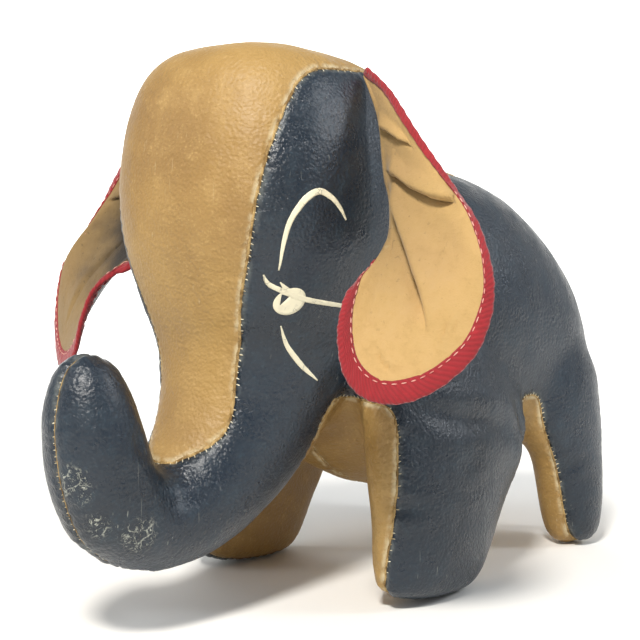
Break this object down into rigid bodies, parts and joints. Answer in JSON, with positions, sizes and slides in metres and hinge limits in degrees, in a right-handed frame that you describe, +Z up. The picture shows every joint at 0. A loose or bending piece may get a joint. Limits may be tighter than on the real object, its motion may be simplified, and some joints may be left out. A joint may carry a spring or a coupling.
{
  "type": "stuffed elephant",
  "caption": "Soft stuffed elephant sewn from leatherette panels, with a curled trunk, hinged bound ears and a small tail; stands on its own feet.",
  "frame": {"origin": "middle of the base, under the centre of the toy's bounding box, on the floor it stands on", "axes": "+Z up, -Y the way the elephant faces (trunk), +X the elephant's left side; Y is the longest extent"},
  "size_m": [0.29, 0.4058, 0.281],
  "materials": {
    "navy_leatherette": "semi-gloss pebbled leatherette, scuffed",
    "tan_leatherette": "semi-matt pebbled leatherette, worn pale at the seams",
    "ear_leather": "soft matt leatherette",
    "red_binding": "woven cotton binding tape",
    "cream_thread": "cotton thread",
    "cream_paint": "brushed-on cream paint",
    "stuffing": "packed cotton waste"
  },
  "bodies": {
    "root": {"left_side_panel": "navy_leatherette", "right_side_panel": "navy_leatherette", "head_gusset": "tan_leatherette", "back_gusset": "tan_leatherette", "left_under_panel": "tan_leatherette", "right_under_panel": "tan_leatherette", "stuffing": "stuffing", "left_eye_paint": "cream_paint", "right_eye_paint": "cream_paint", "gusset_seam_stitching": "cream_thread", "trunk_seam_stitching": "cream_thread", "leg_seam_stitching": "cream_thread"},
    "left_ear": {"left_ear_front": "ear_leather", "left_ear_back": "navy_leatherette", "left_ear_binding": "red_binding", "left_ear_topstitch": "cream_thread"},
    "right_ear": {"right_ear_front": "ear_leather", "right_ear_back": "navy_leatherette", "right_ear_binding": "red_binding", "right_ear_topstitch": "cream_thread"},
    "tail": {"tail": "navy_leatherette", "tail_stitching": "cream_thread"}
  },
  "joints": [
    {"name": "left_ear_fold", "type": "hinge", "parent": "root", "child": "left_ear", "pos_m": [0.0685, -0.056, 0.22], "axis": [-0.2105, 0.1003, 0.9724], "range_deg": [-20, 60], "stiffness_Nm_per_rad": 0.05},
    {"name": "right_ear_fold", "type": "hinge", "parent": "root", "child": "right_ear", "pos_m": [-0.0685, -0.056, 0.22], "axis": [-0.2105, -0.1003, -0.9724], "range_deg": [-20, 60], "stiffness_Nm_per_rad": 0.05},
    {"name": "tail_swing", "type": "hinge", "parent": "root", "child": "tail", "pos_m": [0, 0.177, 0.158], "axis": [1, 0, 0], "range_deg": [0, 75]}
  ]
}
